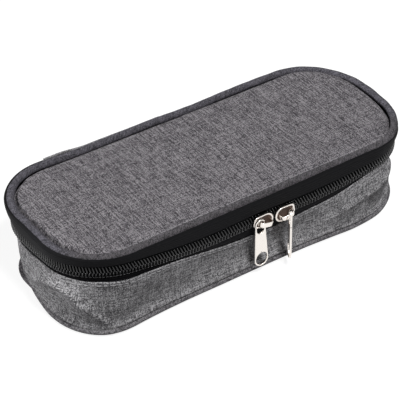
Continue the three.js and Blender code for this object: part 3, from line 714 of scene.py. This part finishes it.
# Two bands of black woven elastic are sewn to the divider and stand up in three loops each, one for each pen.
# The band is 25 mm wide with fine ribs across it, and lies flat on the pad between the loops.
def tube_cells(rows, columns, start=0):
    """Rows and columns of the corners of a tube's cells, and its faces, numbered from start, with one over each end."""
    r, c = grid_corners(rows, columns, False, True)
    ends = start + np.array([[0], [(rows - 1) * columns]]) + np.arange(columns)
    return r, c, (start + r * columns + c % columns).tolist() + ends.tolist()


black_elastic = ribbed_tape("black_woven_elastic", "#1b1b1e", 1.4, 0.8)
elastic_level, loop_reach, loop_rise = 16.85, 8.7, 13.2
loop_turn = np.linspace(np.pi, 0, 33)
path_y, path_z = [np.linspace(-31.7, -28.7, 4)], [np.zeros(4)]
for middle in (-20.0, 0.0, 20.0):
    path_y.append(middle + loop_reach * np.cos(loop_turn) * (1 + 0.04 * np.sin(loop_turn)))
    path_z.append(loop_rise * np.sin(loop_turn) ** 0.8)
path_y = np.concatenate([*path_y, np.linspace(28.7, 31.7, 4)])
path_z = np.concatenate([*path_z, np.zeros(4)])
path_run = np.concatenate([[0], np.cumsum(np.hypot(np.diff(path_y), np.diff(path_z)))])
step_y, step_z = np.gradient(path_y)[:, None], np.gradient(path_z)[:, None]
step_length = np.hypot(step_y, step_z)
band_across = np.concatenate([np.linspace(-12.5, 12.5, 9), np.linspace(12.5, -12.5, 9)])
band_off = np.concatenate([[0.45], np.full(7, 0.7), [0.45], [0.25], np.full(7, 0.0), [0.25]])
r, c, band_faces = tube_cells(path_y.size, band_across.size)
band_cloth = np.concatenate([
    np.stack([path_run[r], np.append(band_across, band_across[0])[c]], -1).reshape(-1, 2),
    *(np.stack([np.full(band_across.size, end), band_across], -1) for end in path_run[[0, -1]])])
for side, middle in (("left", -45.0), ("right", 45.0)):
    band_points = np.stack(np.broadcast_arrays(
        middle + band_across, path_y[:, None] - step_z / step_length * band_off,
        elastic_level + path_z[:, None] + step_y / step_length * band_off), -1)
    elastic = put_mesh(f"pen_elastic_{side}_band", band_points.reshape(-1, 3), band_faces, black_elastic, band_cloth)
    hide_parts(f"pen_elastic_{side}")
    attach(elastic, "base")


# The back hinge is the strip of grey cloth between the gusset's back and the lid, where the lid turns: here it is one
# fixed piece, attached to neither.
# It is double cloth without foam, sewn in at the hem below and under the lid's piping above.
hinge_stop, hinge_low, hinge_rise = 68.3, 25.7, 16.9
hinge_run = np.linspace(LINE / 2 - hinge_stop, LINE / 2 + hinge_stop, 120)
hinge_share = np.linspace(0, 1, 26)[:, None]
hinge_lap = 1 / (1 + np.exp((LINE / 2 - 2 - hinge_run) / 0.8))
hinge_end = soft_step(hinge_run - LINE / 2 - 44, 16)
hinge_height = hinge_low + (hinge_rise + 2.2 * hinge_lap) * hinge_share
hinge_face = -1.55 + 1.1 * np.sin(np.pi * hinge_share) + 0.12 * np.sin(hinge_run / 7.0 + hinge_height / 3.0)
hinge_face = hinge_face + (2.4 * hinge_lap + 0.9 * hinge_end) * np.clip((hinge_share - 0.45) / 0.4, 0, 1) ** 1.5
hinge_height = hinge_height + 0.9 * hinge_end * hinge_share
hinge = put_strip("back_hinge_cloth", hinge_run, hinge_face, hinge_height, cloth_thickness, lighter_painted_wall_fabric)
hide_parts("back_hinge")
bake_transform(hinge)


# The lid's panel is the grey cloth over a thin foam sheet, a little puffed, drawn down into the seam at its edge.
# At the front the seam is sewn flat with one row of stitches, and round the rest it sinks into a dark groove.
lid_level = 45.1
lid_x, lid_y, lid_in = rounded_plan(98.6, 38.6, 27.1, 16, 120, 70)
front_share = 1 / (1 + np.exp((lid_y + 28) / 1.2)) / (1 + np.exp((np.abs(lid_x) - 89) / 1.2))
lid_drop = 3.2 - 2.8 * front_share
lid_wave = 0.12 * np.sin(lid_x / 17.0 + 0.6) * np.sin(lid_y / 11.0) * np.minimum(lid_in / 10, 1)
lid_puff = 0.5 * (1 - np.exp(-lid_in / 7.0)) + lid_wave
front_left = np.exp(-((lid_x + 94) / 9) ** 2 - ((lid_y + 15) / 12) ** 2)
lid_top = lid_level + lid_puff - lid_drop * np.exp(-(lid_in / (1.7 + 0.9 * front_left)) ** 5)
back_right = soft_step(lid_x - 55, 35) * soft_step(lid_y - 5, 26)
back_left = soft_step(-lid_x - 55, 35) * soft_step(lid_y - 5, 26)
right_end = soft_step(lid_x - 70, 25) * np.exp(-((lid_y - 4) / 18) ** 2)
lid_panel = put_pillow("lid_panel_cloth", lid_x + 1.9 * right_end + 0.5 * back_right - 1.0 * back_left,
                       lid_y + 0.9 * back_right + 0.8 * back_left, lid_top, np.minimum(lid_top - 0.05, 43.95),
                       darker_painted_grey_fabric)
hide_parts("lid_panel")
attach(lid_panel, "lid")


# The lid's piping is a soft cord in a bias cut strip of the grey cloth, sewn all round between panel and zip.
# The strip pulls a little round the corners, so its surface has faint slanted gathers.
# The piping's copy of the grey cloth is darker than the panel's, and beyond about 104 mm from the front's middle its
# colour is tinted lighter and bluer.
piping_fabric = heather_polyester("grey_piping_polyester", "#323133", "#494749", "#605d61", turn=40, streak=5.0,
                                  far=(1.08, 1.1, 1.18))
lid_cord, cord_level = 1.95, 44.0
lid_out = smooth_run(full_round, [
    (-255, 0.5), (-240, 0.3), (-205, 0.3), (-190, 1.0), (-172, 1.1), (-150, 0.2), (-120, 0), (95, 0), (108, 0.2),
    (120, 1.0), (132, 2.0), (143, 1.5), (152, 0.2), (163, -0.3), (175, 0.0), (190, 0.3), (205, 0.7), (225, 0.5),
    (245, -0.2)])
piping_round = even_turns(18)[:, None]
gathers = 0.05 * np.sin(full_round / 1.9 + 2 * piping_round)
lid_piping = put_band("lid_piping_cloth", full_round, lid_out - lid_cord + (lid_cord + gathers) * np.cos(piping_round),
                      cord_level + (lid_cord + gathers) * np.sin(piping_round), piping_fabric)
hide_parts("lid_piping")
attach(lid_piping, "lid")

seam_out, lid_stitch_level = -4.9, 44.95
lid_starts = np.concatenate([np.arange(LINE - 78, LINE, stitch_pitch), np.arange(0, 80, stitch_pitch)])
lid_thread = spun_thread("mid_grey_thread", "#858487")
lid_stitches = stitch_row("lid_stitching", lid_starts, stitch_length, 0.42,
                          lambda along: seam_out, lambda along: lid_stitch_level, lid_thread)
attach(lid_stitches, "lid")


# Under the panel the lid holds its own foam sheet and foil lining, with black tape over the edge.
# The three are sewn in with the zip tape, so the tape stands as a low rim round the lid's inside.
lid_padding = put_foam("lid_padding", 95.4, 35.4, 23.9, level=42.1, half=1.35)
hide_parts("lid_foam")
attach(lid_padding, "lid")

lid_foil_x, lid_foil_y, lid_foil_in = rounded_plan(98.1, 38.1, 26.6, 12, 70, 44)
lid_ripple = 0.14 * np.sin(lid_foil_x / 6.7 + 1) * np.sin(lid_foil_y / 5.1) * np.minimum(lid_foil_in / 4, 1)
lid_lining = put_pillow("lid_lining_foil", lid_foil_x, lid_foil_y, 40.3, 39.95 + lid_ripple, silver_foil)
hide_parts("lid_lining")
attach(lid_lining, "lid")


def signed_power(value, power):
    """The value's size to a power, with the value's own sign."""
    return np.sign(value) * np.abs(value) ** power


rim_turn = even_turns(10)[:, None]
lid_binding = put_band("lid_rim_tape", full_round, -6.0 + 0.95 * signed_power(np.cos(rim_turn), 0.6),
                       38.95 + 0.7 * signed_power(np.sin(rim_turn), 0.6), black_binding)
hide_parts("lid_rim_binding")
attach(lid_binding, "lid")


# The zip's upper half: its tape shows as a plain black band between chain and piping, and bulges out over the chain.
# It is the same tape and coil as below, with the loops set between those of the lower half.
band_edge = zip_height(zip_run) + smooth_run(zip_run, [
    (-240, 3.2), (-195, 3.2), (-160, 3.0), (-136, 2.9), (-106, 3.5), (-78, 4.2), (-34, 4.7), (16, 4.8), (38, 4.7),
    (53, 4.1), (70, 3.3), (100, 3.2), (195, 3.2)])
band_swell = smooth_run(zip_run, [
    (-240, 2.6), (-195, 3.6), (-180, 3.6), (-165, 2.5), (-148, 1.4), (-132, 1.4), (-118, 1.4), (-104, 0.9),
    (-88, 0.5), (-70, 0.3), (70, 0.3), (85, 0.4), (100, 0.8), (120, 0.8), (140, 1.0), (168, 1.2), (195, 1.0)])
band_lift = smooth_run(zip_run, [
    (-240, 2.0), (-195, 3.1), (-180, 3.0), (-165, 2.5), (-145, 1.7), (-125, 0.8), (-100, 0.3), (100, 0.3),
    (140, 0.8), (195, 0.8)])
seam_level = smooth_run(zip_run, [
    (-240, 42.4), (-195, 42.4), (-172, 42.7), (-156, 43.7), (-142, 44.5), (-115, 44.6), (-85, 44.5), (-40, 44.1),
    (30, 44.1), (45, 44.4), (78, 44.5), (92, 43.5), (105, 42.5), (132, 42.4), (195, 42.4)])
band_seam = np.sqrt(lid_cord ** 2 - (seam_level - cord_level) ** 2) - lid_cord + 0.1
tape_rows = np.linspace(0, 1, 5)[:, None]
roll_out = np.array([0.5, 1.1, 1.5])[:, None]
roll_up = np.array([0.0, -0.2, 0.15])[:, None]
bulge_rows = np.linspace(0.04, 1, 20)[:, None]
band_lip = zip_out(zip_run) + 1.65
band_face = np.concatenate([
    zip_out(zip_run) + 0 * tape_rows, zip_out(zip_run) + roll_out,
    band_lip + (band_seam - band_lip) * bulge_rows + band_swell * np.sin(np.pi * bulge_rows ** 1.5) ** 0.7])
band_height = np.concatenate([
    zip_height(zip_run) + tape_gap + (band_edge - zip_height(zip_run) - tape_gap) * tape_rows, band_edge + roll_up,
    band_edge + (seam_level - band_edge) * bulge_rows + band_lift * np.sin(np.pi * bulge_rows ** 2)])
lid_tape = put_strip("lid_zip_tape_cloth", zip_run, band_face, band_height, tape_thickness, black_tape)
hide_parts("lid_zip_tape")
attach(lid_tape, "lid")

lid_coil = coil_half("lid_zip_coil_loops", loop_pitch / 2, 3.5, -1.3, 0.7)
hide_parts("lid_zip_coil")
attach(lid_coil, "lid")


# A pocket of black knitted net lies on the lid's lining, open towards the hinge under a band of black tape.
# The net is a knit of fine polyester with round holes, about 2.6 mm apart.
net_columns, net_rows, net_level = 72, 15, 39.35
net_half_x, net_half_y, net_radius, net_mouth = 95.2, 35.2, 23.7, 5.2


def net_place(across, down):
    """Plan point of a share along the net, -1 to 1, and a share from its mouth, 0, to its rounded front edge, 1."""
    x = net_half_x * across
    over = np.maximum(np.abs(x) - (net_half_x - net_radius), 0)
    front = net_half_y - net_radius + np.sqrt(np.maximum(net_radius ** 2 - over ** 2, 0))
    return x, net_mouth - (front + net_mouth) * down


cell_x, cell_y = np.meshgrid(np.arange(net_columns), np.arange(net_rows), indexing="ij")
ring = even_turns(8) + np.pi / 8
ring = np.stack([np.cos(ring), np.sin(ring)])
net_corners = np.concatenate([np.clip(1.3 * ring, -1, 1) / 2, 0.36 * ring], 1)
net_across = ((cell_x.reshape(-1, 1) + 0.5 + net_corners[0]) / net_columns) * 2 - 1
net_down = (cell_y.reshape(-1, 1) + 0.5 + net_corners[1]) / net_rows
net_x, net_y = net_place(net_across * 0.999, net_down)
net_points = np.stack([net_x, net_y, np.full(net_x.shape, net_level)], -1).reshape(-1, 3)
corner, following = np.arange(8), np.roll(np.arange(8), -1)
cell_faces = np.stack([corner, following, following + 8, corner + 8], -1)
net_faces = (cell_faces + (np.arange(net_columns * net_rows) * 16)[:, None, None]).reshape(-1, 4)
black_net = ribbed_tape("black_knitted_net", "#26262a", 0.4, 0.8)
net = put_mesh("pocket_net_knit", net_points, net_faces.tolist(), black_net, net_points[net_faces.ravel()][:, :2])
net_body = net.modifiers.new("thread", "SOLIDIFY")
net_body.thickness = 0.35 * MM
net_body.offset = 0
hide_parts("pocket_net")
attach(net, "lid")

mouth_x = np.linspace(-net_half_x, net_half_x, 60)
mouth_turn = even_turns(14)
mouth_points = np.stack(np.broadcast_arrays(mouth_x[:, None], 8.5 + 3.0 * signed_power(np.cos(mouth_turn), 0.4),
                                            39.1 + 0.4 * signed_power(np.sin(mouth_turn), 0.5)), -1)
r, c, mouth_faces = tube_cells(mouth_x.size, mouth_turn.size)
mouth_girth = np.linspace(0, 13, mouth_turn.size + 1)
mouth_cloth = np.concatenate([np.stack([mouth_x[r], mouth_girth[c]], -1).reshape(-1, 2),
                              np.zeros((2 * mouth_turn.size, 2))])
mouth_tape = put_mesh("pocket_mouth_tape", mouth_points.reshape(-1, 3), mouth_faces, black_binding, mouth_cloth)
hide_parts("pocket_binding")
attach(mouth_tape, "lid")


# The two sliders are die cast zinc with a bright nickel plate: a front and a back plate joined by a post,
# and an arched bail over the front that the pull hangs on. The front plate has a raised rim and turned in flanges.
def nickel_plate(name, colour):
    """Polished nickel on a die casting: bright, faintly warm, with a soft orange peel about 1.5 mm wide. On a slider's
    front plate, inside its rim under the bail, the colour is painted a dull brown as shade and dark reflection, and the
    roughness is raised there."""
    material, tree, place = open_material(name)
    peel = add_node(tree, "TexNoise", {"Vector": place, "Scale": 1 / (1.5 * MM), "Detail": 3.0})
    bail_shade = add_node(tree, "Attribute", attribute_name="bail_shade").outputs["Fac"]
    # Painted shade and dark reflection: a brown tone mixed over the nickel where the points are marked under the bail.
    tone = add_node(tree, "Mix", {0: bail_shade, 6: srgb(colour), 7: srgb("#55463f")}, data_type="RGBA")
    rough = add_node(tree, "MapRange", {"Value": peel, "To Min": 0.1, "To Max": 0.26})
    dull = add_node(tree, "Math", {0: bail_shade, 1: 0.35, 2: rough}, operation="MULTIPLY_ADD")
    return close_material(material, {"Base Color": tone.outputs[2], "Metallic": 1.0, "Roughness": dull},
                          peel, 0.15, 0.1 * MM)


nickel = nickel_plate("bright_nickel_plate", "#efe9e3")
ZIP_LEVEL, FRONT_FACE = 31.0, -42.5
left_middle, left_lift = 2.8, -0.8
right_middle, right_lift = 15.7, -1.2
bail_half = 3.55
plate_turn = even_turns(48)


def slider_outline():
    """A slider plate's edge, narrow end to -x: a superellipse whose half height grows from 3.3 to 4.5 mm."""
    power = 0.72 + 0.24 * np.cos(plate_turn)
    x = 5.9 * signed_power(np.cos(plate_turn), power)
    half = 3.3 + 1.2 / (1 + np.exp(-(x + 0.6) / 1.3))
    return x, half * signed_power(np.sin(plate_turn), power)


def slider_shell(turn, lift, middle_x):
    """Points and faces of a slider: stacked rings of the outline for each plate, a bent bar for the bail and a post,
    turned in the plane of the wall by turn, lifted, and set on the front at middle_x."""
    edge_x, edge_y = slider_outline()
    flange = np.abs(np.sin(plate_turn)) ** 6
    front_rings = [(0.02, -0.5, 0), (0.8, -0.5, 0), (0.84, -0.5, -1.0), (0.97, -0.48, -1.0), (1.0, -0.3, -0.7),
                   (1.0, 0.3, 0), (0.98, 0.55, 0), (0.93, 0.7, 0), (0.86, 0.66, 0), (0.8, 0.42, 0), (0.02, 0.38, 0)]
    back_rings = [(0.02, -4.6, 0), (0.7, -4.6, 0), (0.75, -4.4, 0), (0.75, -3.8, 0), (0.7, -3.6, 0), (0.02, -3.6, 0)]
    grids = []
    for rings in (front_rings, back_rings):
        size, level, hang = np.array(rings).T[:, :, None]
        grids.append(np.stack([size * edge_x, size * edge_y, level + hang * flange], -1))
    arch = np.linspace(0, np.pi, 25)[:, None]
    arch_x = -bail_half * signed_power(np.cos(arch), 0.5)
    arch_z = 0.3 + bail_half * np.abs(np.sin(arch)) ** 0.5
    lean = np.arctan2(np.gradient(arch_z, axis=0), np.gradient(arch_x, axis=0))
    bar = even_turns(12)
    thick, wide = 0.45 * signed_power(np.sin(bar), 0.7), 1.3 * signed_power(np.cos(bar), 0.6)
    grids.append(np.stack(np.broadcast_arrays(arch_x - np.sin(lean) * thick, wide, arch_z + np.cos(lean) * thick), -1))
    post_ring = np.stack([3.2 + 1.2 * np.cos(bar), 0.4 * np.sin(bar), 0 * bar], -1)
    grids.append(post_ring + np.array([[[0, 0, -0.4]], [[0, 0, -3.7]]]))
    faces, start = [], 0
    for rows, columns, _ in (grid.shape for grid in grids):
        faces += tube_cells(rows, columns, start)[2]
        start += rows * columns
    flat = np.concatenate([grid.reshape(-1, 3) for grid in grids])
    x = flat[:, 0] * np.cos(turn) - flat[:, 1] * np.sin(turn)
    z = flat[:, 0] * np.sin(turn) + flat[:, 1] * np.cos(turn)
    return np.stack([middle_x + x, FRONT_FACE - flat[:, 2], ZIP_LEVEL + lift + z], -1), faces


slider_tilt = np.radians(11)
for side, turn, lift, middle in (("left", -slider_tilt, left_lift, left_middle),
                                 ("right", np.pi + slider_tilt, right_lift, right_middle)):
    slider_points, slider_faces = slider_shell(turn, lift, middle)
    slider = put_mesh(f"{side}_slider_casting", slider_points, slider_faces, nickel)
    slider.data.set_sharp_from_angle(angle=np.radians(50))
    # The front plate's face inside its rim, under the bail, is marked for the painted brown shade and reflection.
    painted_bail_shade = np.zeros(len(slider.data.vertices), np.float32)
    painted_bail_shade[9 * plate_turn.size:11 * plate_turn.size] = 1
    slider.data.attributes.new("bail_shade", "FLOAT", "POINT").data.foreach_set("value", painted_bail_shade)
    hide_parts(f"{side}_slider")
    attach(slider, f"slider_{side}")


# Each pull is a flat tab of the same plated zinc with a long eye for the bail and a wide hole at its free end.
# Its edges are rounded and its face is dished a little, so a bright rim runs round it and round both holes.
top_radius, end_radius, tab_length = 3.0, 4.0, 21.6
eye_radius, eye_drop, eye_end = 2.2, 3.1, -5.3
hole_middle, hole_half_height, hole_half_width = -21.1, 3.7, 3.3
hole_top, hole_end = -17.4, -24.8


def pull_levels():
    """Heights on the tab from its top to its end, set by even angles round each arc so that the arcs stay round."""
    quarter = np.linspace(0, np.pi / 2, 9)
    half = np.linspace(np.pi / 2, -np.pi / 2, 21)
    return np.unique(np.round(np.concatenate([
        top_radius * np.sin(quarter), eye_radius * np.sin(quarter), -eye_drop - eye_radius * np.sin(quarter),
        np.linspace(-eye_drop, 0, 5), np.linspace(hole_top, eye_end, 12),
        hole_middle + hole_half_height * np.sin(half), -tab_length - end_radius * np.sin(quarter)]), 5))[::-1]


def pull_shell():
    """Points and faces of a pull, eye at the origin and free end down. Across each level it runs from the inner edge,
    which is the middle or a hole, to the outer one. Within 0.35 mm of an edge its half thickness is a quarter round."""
    level = pull_levels()[:, None]
    top = np.sqrt(np.maximum(top_radius ** 2 - level ** 2, 0))
    end = np.sqrt(np.maximum(end_radius ** 2 - (level + tab_length) ** 2, 0))
    flank = top_radius - (end_radius - top_radius) * level / tab_length
    outer = np.where(level > 0, top, np.where(level > -tab_length, flank, end))
    eye_arc = np.where(level > 0, level, np.minimum(level + eye_drop, 0))
    eye = np.sqrt(np.maximum(eye_radius ** 2 - eye_arc ** 2, 0))
    end_hole = hole_half_width * np.sqrt(np.maximum(1 - ((level - hole_middle) / hole_half_height) ** 2, 0))
    inner = np.maximum(eye, end_hole)
    share = (1 - np.cos(np.linspace(0, np.pi, 13))) / 2
    x = inner + (outer - inner) * share
    no_edge = 99
    to_hole = np.hypot(x, np.minimum(np.abs(level - eye_end), np.abs(level - hole_top)))
    to_edge = np.minimum(outer - x, np.where(inner > 0, x - inner, to_hole))
    to_edge = np.minimum(to_edge, np.where(level > eye_radius, np.hypot(x, level - eye_radius), no_edge))
    to_edge = np.minimum(to_edge, np.where(level < hole_end, np.hypot(x, level - hole_end), no_edge))
    half = 0.6 * np.sqrt(1 - (1 - np.minimum(to_edge / 0.35, 1)) ** 2)
    half = half - 0.12 * np.clip((to_edge - 0.55) / 0.4, 0, 1)
    y = np.broadcast_to(level, x.shape)
    sheets = [np.stack([side * x, y, face * half], -1).reshape(-1, 3) for side in (1, -1) for face in (1, -1)]
    r, c = grid_corners(*x.shape)
    cells = r * x.shape[1] + c
    faces = np.concatenate([cells + sheet * x.size for sheet in range(4)])
    return np.concatenate(sheets), faces.tolist()


pull_points, pull_faces = pull_shell()
pull_x, pull_y, pull_z = pull_points.T
swing, edge_on = np.radians(3), np.radians(60)
left_front, right_front, right_shift = -44.55, -46.35, 0.7
left_points = np.stack([
    left_middle - bail_half * np.cos(slider_tilt) + (pull_x * np.cos(swing) - pull_y * np.sin(swing)),
    left_front - pull_z,
    ZIP_LEVEL + left_lift + bail_half * np.sin(slider_tilt) + (pull_x * np.sin(swing) + pull_y * np.cos(swing))], -1)
right_points = np.stack([
    right_middle + right_shift * np.cos(slider_tilt) + (pull_x * np.cos(edge_on) + pull_z * np.sin(edge_on)),
    right_front + (pull_x * np.sin(edge_on) - pull_z * np.cos(edge_on)),
    ZIP_LEVEL + right_lift + right_shift * np.sin(slider_tilt) + pull_y], -1)
for side, points in (("left", left_points), ("right", right_points)):
    pull = put_mesh(f"{side}_pull_tab", points, pull_faces, nickel)
    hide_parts(f"{side}_pull")
    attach(pull, f"pull_{side}")
